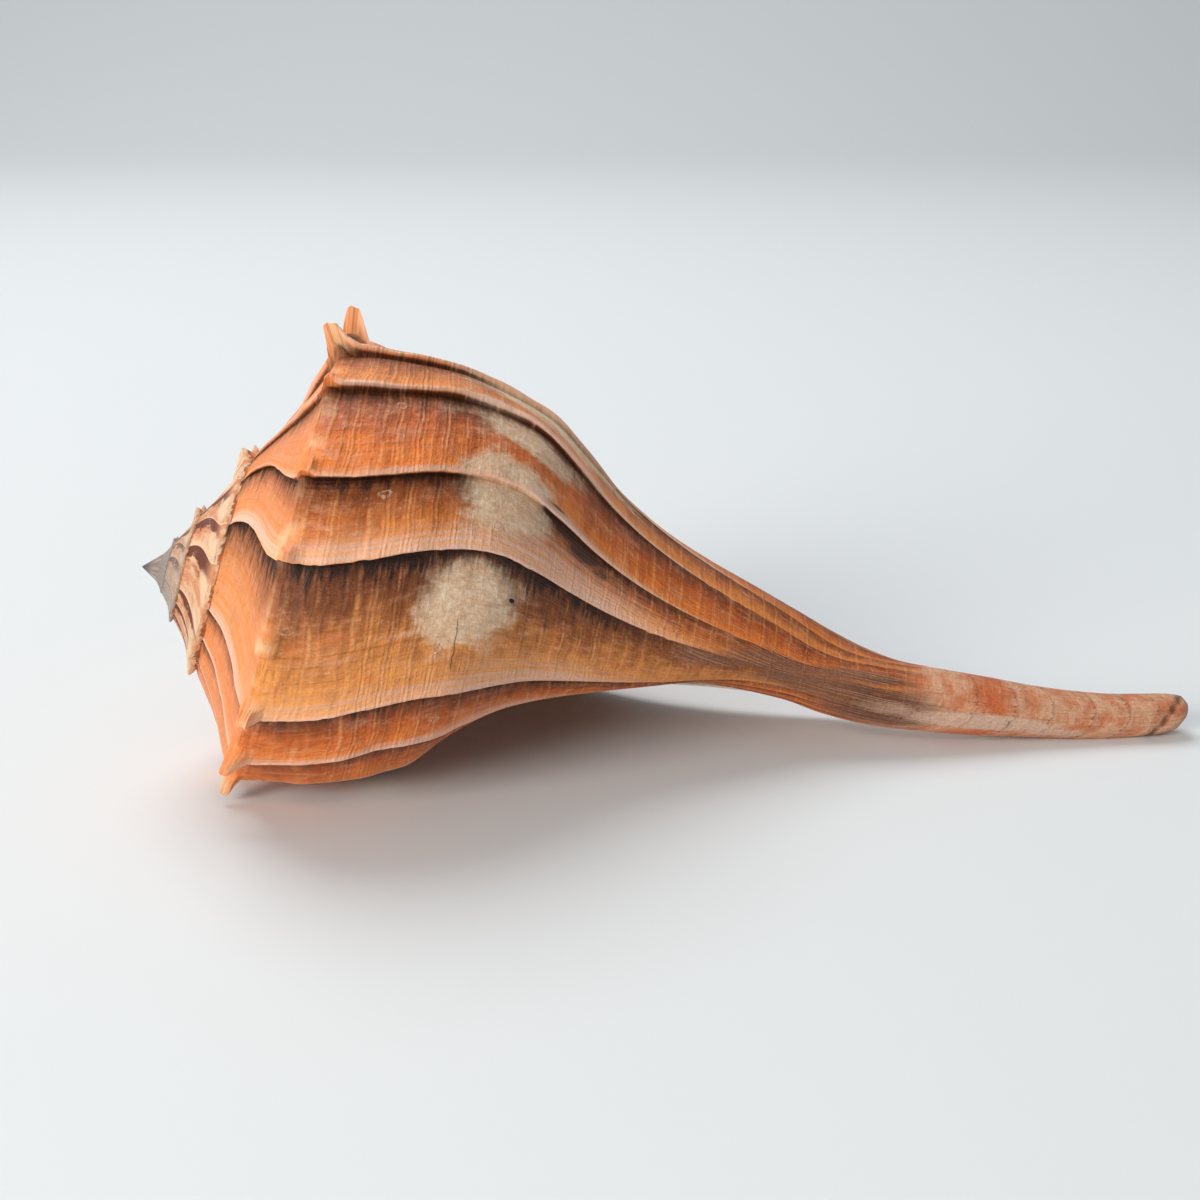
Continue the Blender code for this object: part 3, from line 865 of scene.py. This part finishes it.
def add_marks(tree, at, colour):
    """Round scars of barnacles, a black speck and a hair crack, on the last turn only."""
    last_turn = share(tree, (at.age, OLD_AGE, 0.90))
    across = roughen(tree, at.across, (at.mottle, 1.6))
    growing = roughen(tree, at.growing, (at.blotch, 1.6))
    scar = 0.0
    for mark in BARNACLE_SCARS:
        away = apart(tree, distance_from(tree, across, growing, mark), SCAR_RADIUS)
        scar = add_node(tree, "Math", (scar, share(tree, (away, 0.26, 0.02))), operation="MAXIMUM")
    scar = share(tree, scar, (at.fine_streak, 0.36, 0.56))
    at.scar = share(tree, scar, last_turn)
    colour = paint(tree, colour, (share(tree, at.scar, 0.6), "F3D6C0"))
    speck = share(tree, (distance_from(tree, at.across, at.growing, BLACK_SPECK), 0.42, 0.25))
    colour = paint(tree, colour, (share(tree, speck, last_turn), "140C0A"))
    crack_across, crack_growing, _ = mark_place(*HAIR_CRACK)
    away = apart(tree, roughen(tree, at.across, (at.cloud, 1.2)), crack_across)
    length = apart(tree, at.growing, crack_growing)
    hair = share(tree, (away, 0.10, 0.03), (length, 3.8, 3.0, 0.7))
    return paint(tree, colour, (share(tree, hair, last_turn), "4A2A1A"))


def add_canal(tree, at, colour):
    """Grey and dark streaks of the neck, and the peach canal with its rings and cracks."""
    slant = add_node(tree, "Math", (at.ring_place, 0.5, at.growing), operation="MULTIPLY_ADD")
    veins = grain(tree, at.ring_place, slant, *VEIN_GRAINS)
    ash = paint(
        tree, "7E584C",
        (at.ring_place, 86.0, 91.0, 1.0, "4E3434"),
        (roughen(tree, veins, (at.mottle, 0.5)), 0.42, 0.72, 1.0, "C39C86"),
    )
    at.ring_tone = grain(tree, at.ring_place, at.growing, *RING_GRAINS)
    tube = paint(
        tree, "F0A07A",
        (at.ring_tone, 0.36, 0.60, 1.0, "FFD6BE"),
        (at.cloud, 0.50, 0.70, 0.65, "D98A68"),
        (at.mottle, 0.54, 0.74, 0.55, "A9705C"),
    )
    colour = paint(
        tree, colour,
        (roughen(tree, at.neck, (at.cloud, 0.8)), 0.2, 0.8, 1.0, tube),
        (roughen(tree, at.smoke, (at.cloud, 0.7)), 0.20, 0.75, 0.85, ash),
        (roughen(tree, at.orange, (at.blotch, 1.6)), 0.3, 1.0, 0.75, "E8793C"),
    )
    worn = share(tree, (roughen(tree, at.edge, (at.mottle, 0.8)), 0.2, 0.5))
    colour = paint(tree, colour, (share(tree, worn, at.neck), "F6DCD4"))
    crack_place = roughen(tree, at.ring_place, (at.mottle, 0.5), (at.cloud, 2.0))
    kept = share(tree, (roughen(tree, at.neck, (at.cloud, 1.2)), 0.8, 1.2))
    at.crack = share(tree, fine_lines(tree, crack_place, 4.6, 0.14), kept)
    colour = paint(tree, colour, (share(tree, at.crack, 0.5), "8A5038"))
    groove = roughen(tree, at.groove, (at.mottle, 0.8))
    return paint(tree, colour, (groove, 0.3, 0.9, 0.8, "6A3A2A"))


def add_spire(tree, at, colour):
    """The older turns: bleached, with brown between the nodules, and grey at the apex."""
    spire = paint(tree, "F6DAC2", (at.cloud, 0.40, 0.56, 1.0, "E8A884"))
    patch = roughen(tree, at.phase, (at.mottle, 0.3), (at.cloud, 1.2))
    patch = share(tree, (patch, 0.60, 0.76, 0.95))
    patch = share(tree, patch, (at.ramp, 1.1, 0.6))
    spire = paint(tree, spire, (patch, "6E3326"))
    grey = paint(tree, "C6CAD6", (at.blotch, 0.54, 0.64, 1.0, "D9A468"))
    spire = paint(
        tree, spire,
        (roughen(tree, at.shoulder, (at.mottle, 0.3)), 0.15, 0.6, 1.0, "FAE6D0"),
        (roughen(tree, at.rim, (at.mottle, 0.3)), 0.2, 0.7, 1.0, "FBE3CC"),
        (roughen(tree, at.age, (at.cloud, 0.6)), 2.3, 2.8, 1.0, grey),
        (roughen(tree, at.age, (at.mottle, 0.3)), 4.25, 4.6, 0.8, "7F7E90"),
        (at.age, 4.82, 4.92, 1.0, "C07C48"),
    )
    return paint(tree, colour, (at.age, OLD_AGE, 1.0, 1.0, spire))


def surface_heights(tree, at):
    """Heights of the fine relief in metres. The finest is worn off in the pale band."""
    kept = add_node(
        tree, "Math", (share(tree, (at.cream, 0.05, 0.5)), -0.85, 1.0), operation="MULTIPLY_ADD"
    )
    sunk = share(tree, (at.worn_shoulder, 0.3, 0.7))
    folds = share(tree, at.ring_tone, at.neck)
    fine = (
        (at.streak, 0.16),
        (at.growth_line, 0.13),
        (at.cords, 0.03),
        (at.wide_cords, 0.05),
    )
    coarse = (
        (at.fine_streak, 0.06),
        (at.mottle, 0.16),
        (at.blotch, 0.35),
        (at.scar, 0.12),
        (at.rings, -0.015),
        (sunk, -0.3),
        (at.crack, -0.20),
        (at.groove, -0.5),
        (folds, 0.9),
    )
    heights = 0.0
    for pattern, height in fine:
        heights = add_node(tree, "Math", (pattern, height * MM, heights), operation="MULTIPLY_ADD")
    heights = add_node(tree, "Math", (heights, kept), operation="MULTIPLY")
    for pattern, height in coarse:
        heights = add_node(tree, "Math", (pattern, height * MM, heights), operation="MULTIPLY_ADD")
    return heights


def new_material(name):
    """A material, its node tree and its shader."""
    material = bpy.data.materials.new(name)
    material.use_nodes = True
    return material, material.node_tree, material.node_tree.nodes["Principled BSDF"]


def outside_material(shape):
    """Worn shell lime: satin orange-brown panels with pale rims, dark streaks and fine cords."""
    material, tree, shader = new_material("worn_shell_lime")
    at = patterns(tree)
    at.panel_colour = (*shape.panel_colour, 1.0)
    at.rim_colour = (*shape.rim_colour, 1.0)
    colour = add_panels(tree, at)
    steps = (
        add_threads, add_pale_band, add_ledge_shade, add_rims, add_marks, add_canal, add_spire
    )
    for add in steps:
        colour = add(tree, at, colour)
    tint = paint(tree, "FFE9D2", (at.cream, 0.1, 0.5, 1.0, "FFF0E0"))
    inputs = {MIX_FACTOR: 1.0, MIX_A: colour, MIX_B: tint}
    colour = add_node(tree, "Mix", inputs, MIX_RESULT, data_type="RGBA", blend_type="MULTIPLY")
    inputs = {"Value": at.mottle, "To Min": 0.40, "To Max": 0.62}
    rough = add_node(tree, "MapRange", inputs)
    inputs = {"Height": surface_heights(tree, at), "Strength": 1.0, "Distance": 1.0}
    bump = add_node(tree, "Bump", inputs)
    inputs = {"Base Color": colour, "Roughness": rough, "IOR": 1.42, "Normal": bump}
    fill(tree, shader, inputs)
    return material


def inside_material(shape):
    """Glazed shell lime: the smooth peach inside of the aperture, paler towards the lip."""
    material, tree, shader = new_material("glazed_shell_lime")
    across, growing, _ = attribute(tree, "coil")
    depth, _, _ = attribute(tree, "marks")
    cloud = grain(tree, across, growing, *INSIDE_GRAINS)
    deep = (*shape.inside_colour, 1.0)
    colour = paint(tree, "EFCBA8", (depth, 0.0, 0.5, 1.0, deep))
    colour = paint(tree, colour, (share(tree, cloud, 0.5), "F0B98C"))
    fill(tree, shader, {"Base Color": colour, "Roughness": 0.22, "IOR": 1.55})
    return material


def around(value, middle, width):
    """1 where a value is at the middle, falling away to both sides."""
    return np.exp(-((value - middle) / width) ** 2)


def slanted(turned, amount, angle):
    """Distance from the apex along rings that reach further back at a growth angle."""
    return STATION + amount * np.cos(np.radians(turned - angle))


def patches(table, turned):
    """Strength of marks at every mesh point: 1 in the middle of a mark and 0 away from it."""
    total = np.zeros(turned.shape)
    for station, angle, wide, tall, strength in table:
        away = ((STATION - station) / wide) ** 2 + ((turned - angle) / tall) ** 2
        total = np.maximum(total, strength * np.exp(-away))
    return total


def outer_values(start, last, turned):
    """What the outside material reads at each point, three values to an attribute."""
    angle, step, ledge = columns(start, last + 1)
    panel_part = PANEL_COLUMNS[step, 0]
    panel_part[step <= 1] = 0.0
    ones = np.ones(turned.shape)
    ramp_across = -(1.0 - np.minimum(RAMP_PART, 1.0)) * RAMP_WIDTH
    ramp_across = ramp_across + UNDER_SHOULDER / MM * np.clip(RAMP_PART - 1.0, 0.0, 1.0)
    across = np.where(ROW <= SUTURE_ROW, ramp_across, STATION - SHOULDER_STATION)
    along = profile(turned)[0] / MM
    size = 1.0 + (growth(turned) - 1.0) * (1.0 - rise(STATION, STRAIGHT_PATTERN))
    pattern = np.where(ROW <= SUTURE_ROW, ramp_across, along - SHOULDER_STATION * size)
    coil = np.stack([pattern, angle[:, None] * PATTERN_PITCH * ones, RAMP_PART * ones], -1)

    # The low bump halfway up the widest panel doesn't part it in two.
    below = np.array(LEDGE_ANGLES[BUMP_LEDGE - 1:BUMP_LEDGE + 2], float)
    share = (below[1] - below[0]) / (below[2] - below[0])
    phase = np.where(ledge == BUMP_LEDGE - 1, panel_part * share, panel_part)
    phase = np.where(ledge == BUMP_LEDGE, share + panel_part * (1.0 - share), phase)
    # The wall under each ledge's rim takes the darkest phase: painted shade under the overhang.
    phase = np.where((step == 0) & (ledge != BUMP_LEDGE), 1.0, phase)
    in_last_turn = (angle > angle[-1] - TURN)[:, None]
    tables = (CREAM_PATCHES, DARK_AND_SHADOW_PATCHES, SMOKY_PATCHES, WORN_EDGES)
    cream, pit, smoke, edge = (patches(table, turned) * in_last_turn for table in tables)
    marks = np.stack([phase[:, None] * ones, cream, pit], -1)

    age = (angle[-1] - angle) / TURN
    fall = PALE_LEAST + (1.0 - PALE_LEAST) * around(panel_part, 0.0, PALE_PART)
    near = around(across, *PALE_SHOULDER) * fall[:, None]
    knob = (0.5 + 0.5 * np.cos((panel_part - PALE_PART) * 2.0 * math.pi))[:, None]
    knob = knob * around(across, *PALE_KNOB)
    near = np.where((age > OLD_AGE)[:, None], knob, near)
    zone = np.stack([age[:, None] * ones, near, canal_share() * ones], -1)

    broad = 1.0 + RIM_BROADER * rise(STATION, RIM_BROADENS) * rise(STATION, RIM_NARROWS)
    broad = each(RIM_WIDTH, ledge) * broad
    rim = np.exp(-panel_part[:, None] * PANEL_LENGTH / broad) * (step != 0)[:, None]
    rim = rim * np.minimum(1.0, np.array(LEDGE_STRENGTH)[ledge] * RIM_BRIGHTNESS)[:, None]
    shade = each(PANEL_SHADE, ledge) * rise(STATION, SHADE_ENDS)
    gold = each(PANEL_GOLD, ledge) * ones
    tone = np.stack([gold, rim * rise(STATION, RIM_ENDS), shade * ones], -1)

    ring_place = slanted(turned, *RING_SLANT)
    wear = np.stack([smoke, ring_place, rise(ring_place, CANAL_TONE)], -1)
    groove = around(slanted(turned, *GROOVE_SLANT), *TIP_GROOVE)
    tip = np.stack([edge, groove, around(ring_place, *ORANGE_PATCH)], -1)
    return coil, marks, zone, tone, wear, tip


def add_object(name, data):
    item = bpy.data.objects.new(name, data)
    bpy.context.scene.collection.objects.link(item)
    return item


def add_grid(mesh, points, layers, values, material):
    """A grid of faces through an array of points, with values for the shader at each."""
    across, down = points.shape[:2]
    grid = bmesh.ops.create_grid(mesh, x_segments=across - 1, y_segments=down - 1, size=0.5)
    faces = set()
    for vertex in grid["verts"]:
        column = round((vertex.co.x + 0.5) * (across - 1))
        row = round((vertex.co.y + 0.5) * (down - 1))
        vertex.co = points[column, row]
        for layer, value in zip(layers, values):
            vertex[layer] = value[column, row]
        faces.update(vertex.link_faces)
    for face in faces:
        face.material_index = material
        face.smooth = True


def make_shell(shape):
    """The whole shell as one closed mesh: outer surface, hollow and the ends between them."""
    last = PER_TURN - PER_PANEL + LIP_COLUMN
    first = last - PER_TURN
    start = first - SPIRE_TURNS * PER_TURN
    points, turned = outer_surface(start, last, shape)
    values = outer_values(start, last, turned)
    lip = float(columns(last, last + 1)[0][0])
    hollow, depth = hollow_surface(lip)

    mesh = bmesh.new()
    names = ("coil", "marks", "zone", "tone", "wear", "tip")
    layers = [mesh.verts.layers.float_vector.new(name) for name in names]
    spire_rows = slice(0, SUTURE_ROW + 1)
    add_grid(mesh, points[:, spire_rows], layers, [value[:, spire_rows] for value in values], 0)
    body = (slice(first - start, None), slice(SUTURE_ROW, None))
    add_grid(mesh, points[body], layers, [value[body] for value in values], 0)

    # The hollow's first and last columns lie on the lip and on the columella.
    columella = points[first - start].copy()
    columella[:SUTURE_ROW] = columella[SUTURE_ROW]
    rim = points[-1]
    hollow = np.concatenate([rim[None], hollow, columella[None]])
    depth = np.concatenate([depth[:1], depth, depth[-1:]])
    coil = np.zeros(hollow.shape)
    coil[..., 0] = values[0][-1, :, 0]
    coil[..., 1] = np.arange(len(hollow))[:, None]
    marks = np.zeros(hollow.shape)
    marks[..., 0] = depth
    blank = np.zeros(hollow.shape)
    add_grid(mesh, hollow, layers, [coil, marks, blank, blank, blank, blank], 1)

    # The end of the canal, between the outer surface and the hollow.
    inner_end = hollow[1:-1, -1]
    part = (last - np.arange(first, last + 1)) / PER_TURN
    index = np.round(part * (len(inner_end) - 1)).astype(int)
    end = np.stack([points[first - start:, -1], inner_end[index]], 1)
    body_values = [value[first - start:, -1:] for value in values]
    add_grid(mesh, end, layers, [np.repeat(value, 2, axis=1) for value in body_values], 0)

    # The apex is closed by a fan of faces.
    tip = place(np.zeros(1), np.zeros(1), np.zeros(1))[0]
    ring = points[:PER_TURN - PER_PANEL + 1, 0]
    ring = np.concatenate([ring, points[0, SUTURE_ROW::-1]])
    fan = np.stack([ring, np.repeat(tip[None], len(ring), axis=0)], 1)
    fan_values = [value[:1, :1] * np.ones((len(ring), 2, 1)) for value in values]
    fan_values[names.index("zone")][:, 1, 0] += 1.0
    add_grid(mesh, fan, layers, fan_values, 0)

    bmesh.ops.remove_doubles(mesh, verts=mesh.verts, dist=MERGE_DISTANCE)
    bmesh.ops.dissolve_degenerate(mesh, edges=mesh.edges, dist=MERGE_DISTANCE)
    bmesh.ops.recalc_face_normals(mesh, faces=mesh.faces)
    data = bpy.data.meshes.new("whelk_shell_looks")
    mesh.to_mesh(data)
    mesh.free()
    data.materials.append(outside_material(shape))
    data.materials.append(inside_material(shape))
    data.set_sharp_from_angle(angle=SHARP_ANGLE)
    return add_object("whelk_shell_looks", data)


def aim(item, target):
    """Turns a lamp or camera to look at a point."""
    away = Vector(target) - item.location
    item.rotation_euler = away.to_track_quat("-Z", "Y").to_euler()


def add_lamp(name, place_at, target, size, watts, colour):
    data = bpy.data.lights.new(name, "AREA")
    data.shape = "DISK"
    data.size = size
    data.energy = watts
    data.color = linear_colour(colour)[:3]
    lamp = add_object(name, data)
    lamp.location = place_at
    aim(lamp, target)
    return lamp


def floor_material():
    """Plain pale matt board."""
    material, tree, shader = new_material("pale_matt_board")
    fill(tree, shader, {"Base Color": "EAEDEF", "Roughness": 0.55})
    return material


def make_floor():
    """A floor that curves up into a wall far behind the shell, as in a photographer's studio."""
    turn = [math.radians(90.0 * step / 16) for step in range(17)]
    outline = [(-3.0, 0.0), (0.0, 0.0)]
    outline += [(WALL_AWAY + WALL_BEND * math.sin(a), WALL_BEND * (1.0 - math.cos(a))) for a in turn]
    outline.append((WALL_AWAY + WALL_BEND, 3.0))
    mesh = bmesh.new()
    bmesh.ops.create_grid(mesh, x_segments=1, y_segments=len(outline) - 1, size=0.5)
    for vertex in mesh.verts:
        row = round((vertex.co.y + 0.5) * (len(outline) - 1))
        vertex.co = (math.copysign(3.0, vertex.co.x), *outline[row])
    for face in mesh.faces:
        face.smooth = True
    data = bpy.data.meshes.new("floor")
    mesh.to_mesh(data)
    mesh.free()
    data.materials.append(floor_material())
    return add_object("floor", data)


def make_stage():
    """A plain pale floor, soft light from above and behind, and the photograph's camera."""
    floor = make_floor()
    lamps = [
        add_lamp("window_light", (-0.25, 0.40, 0.80), (0.0, 0.0, 0.02), 0.7, 4.9, "FFFFFF"),
        add_lamp("front_fill", (-0.70, -0.80, 0.45), (0.0, 0.0, 0.03), 0.6, 9.2, "FFFAF2"),
    ]
    world = bpy.data.worlds.new("pale_room")
    world.use_nodes = True
    tree = world.node_tree
    inputs = {"Color": "E4EDF2", "Strength": 0.34}
    fill(tree, tree.nodes["Background"], inputs)
    bpy.context.scene.world = world
    bpy.context.scene.view_settings.view_transform = "Standard"

    data = bpy.data.cameras.new("camera")
    data.sensor_width = SENSOR_WIDTH
    data.lens = SENSOR_WIDTH * FOCAL_PIXELS / PICTURE_PIXELS
    data.dof.use_dof = False
    camera = add_object("camera", data)
    camera.location = CAMERA_PLACE
    camera.rotation_euler = (math.radians(90.0 - CAMERA_DOWN), 0.0, 0.0)
    bpy.context.scene.camera = camera


class WhelkShape(bpy.types.PropertyGroup):
    ledge_height: FloatProperty(
        name="Ledge height", description="How far a ledge stands off the panel below it",
        default=1.3 * MM, unit="LENGTH",
    )
    ledge_overhang: FloatProperty(
        name="Ledge overhang", description="How far the rim of a ledge hangs over that panel",
        default=0.40 * MM, unit="LENGTH",
    )
    spine_length: FloatProperty(
        name="Spine length", description="Length of a shoulder spine of strength 1",
        default=3.0 * MM, unit="LENGTH",
    )
    panel_colour: FloatVectorProperty(
        name="Panel colour", description="Colour of a panel just past the ledge it starts with",
        default=linear_colour("F68A32")[:3], subtype="COLOR", min=0.0, max=1.0,
    )
    rim_colour: FloatVectorProperty(
        name="Rim colour", description="Colour of the raised rims of the ledges",
        default=linear_colour("FFCDAC")[:3], subtype="COLOR", min=0.0, max=1.0,
    )
    inside_colour: FloatVectorProperty(
        name="Inside colour", description="Colour deep in the aperture",
        default=linear_colour("E08F5C")[:3], subtype="COLOR", min=0.0, max=1.0,
    )


class WHELK_OT_shell(bpy.types.Operator):
    """Builds the shell with its materials"""

    bl_idname = "whelk.shell"
    bl_label = "Build shell"

    def execute(self, context):
        shell = make_shell(context.scene.whelk_shape)
        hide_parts(NODE)
        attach(shell, "root")
        return {"FINISHED"}


class WHELK_OT_stage(bpy.types.Operator):
    """Builds the plain floor, the lights and the camera"""

    bl_idname = "whelk.stage"
    bl_label = "Build stage"

    def execute(self, context):
        make_stage()
        return {"FINISHED"}


class WHELK_PT_panel(bpy.types.Panel):
    bl_idname = "WHELK_PT_panel"
    bl_label = "Lightning whelk"
    bl_space_type = "VIEW_3D"
    bl_region_type = "UI"
    bl_category = "Whelk"

    def draw(self, context):
        shape = context.scene.whelk_shape
        for name in ("ledge_height", "ledge_overhang", "spine_length"):
            self.layout.prop(shape, name)
        for name in ("panel_colour", "rim_colour", "inside_colour"):
            self.layout.prop(shape, name)
        self.layout.operator(WHELK_OT_shell.bl_idname)
        self.layout.operator(WHELK_OT_stage.bl_idname)


CLASSES = (WhelkShape, WHELK_OT_shell, WHELK_OT_stage, WHELK_PT_panel)


def register():
    for item in CLASSES:
        bpy.utils.register_class(item)
    bpy.types.Scene.whelk_shape = PointerProperty(type=WhelkShape)


def unregister():
    del bpy.types.Scene.whelk_shape
    for item in reversed(CLASSES):
        bpy.utils.unregister_class(item)


def main():
    register()
    bpy.ops.whelk.shell()
    bpy.ops.whelk.stage()


if __name__ == "__main__":
    main()
